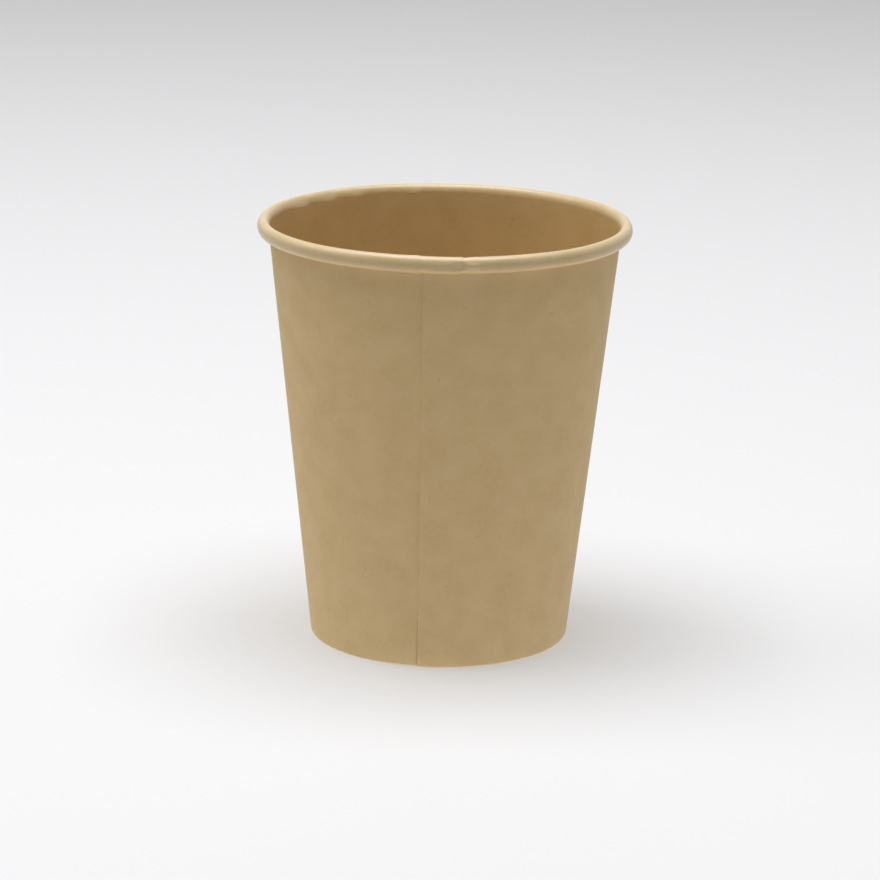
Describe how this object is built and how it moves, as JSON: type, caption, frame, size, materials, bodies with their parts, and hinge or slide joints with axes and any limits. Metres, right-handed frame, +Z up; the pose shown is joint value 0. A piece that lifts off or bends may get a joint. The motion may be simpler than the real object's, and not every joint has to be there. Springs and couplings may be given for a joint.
{
  "type": "paper coffee cup",
  "caption": "Tapered single-wall paper cup for hot drinks, with a rolled rim, a lapped side seam and a recessed base held in a folded foot.",
  "frame": {"origin": "on the table, under the middle of the cup's foot", "axes": "+Z up along the cup's axis, out of its mouth; -Y towards the side seam"},
  "size_m": [0.08, 0.0801, 0.0916],
  "materials": {
    "sidewall_board": "uncoated bamboo-coloured paper, matte, faintly mottled",
    "base_board": "uncoated bamboo-coloured paper, matte, faintly mottled"
  },
  "bodies": {
    "root": {"sidewall": "sidewall_board", "base_disc": "base_board"}
  },
  "joints": []
}
